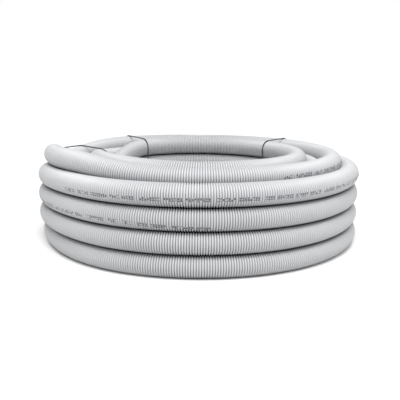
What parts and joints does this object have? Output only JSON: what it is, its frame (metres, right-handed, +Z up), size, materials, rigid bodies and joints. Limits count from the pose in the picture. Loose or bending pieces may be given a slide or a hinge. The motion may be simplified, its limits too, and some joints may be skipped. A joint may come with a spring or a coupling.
{
  "type": "coiled corrugated waste hose",
  "caption": "Long light-grey corrugated waste hose wound into a flat ring-shaped coil and bound with dark twine.",
  "frame": {"origin": "centre of the coil on the ground it lies on", "axes": "+Z up along the coil's axis; -Y is the side shown in front, +X to its right"},
  "size_m": [0.498, 0.498, 0.1474],
  "materials": {
    "hose_plastic": "satin light-grey polyethylene",
    "tie_twine": "dark twisted twine"
  },
  "bodies": {
    "root": {"hose_coil": "hose_plastic", "hose_top_turn": "hose_plastic", "hose_inner_end": "hose_plastic", "tie_left": "tie_twine", "tie_left_knot": "tie_twine", "tie_back_left": "tie_twine", "tie_back_left_knot": "tie_twine", "tie_back_right": "tie_twine", "tie_back_right_knot": "tie_twine"}
  },
  "joints": []
}
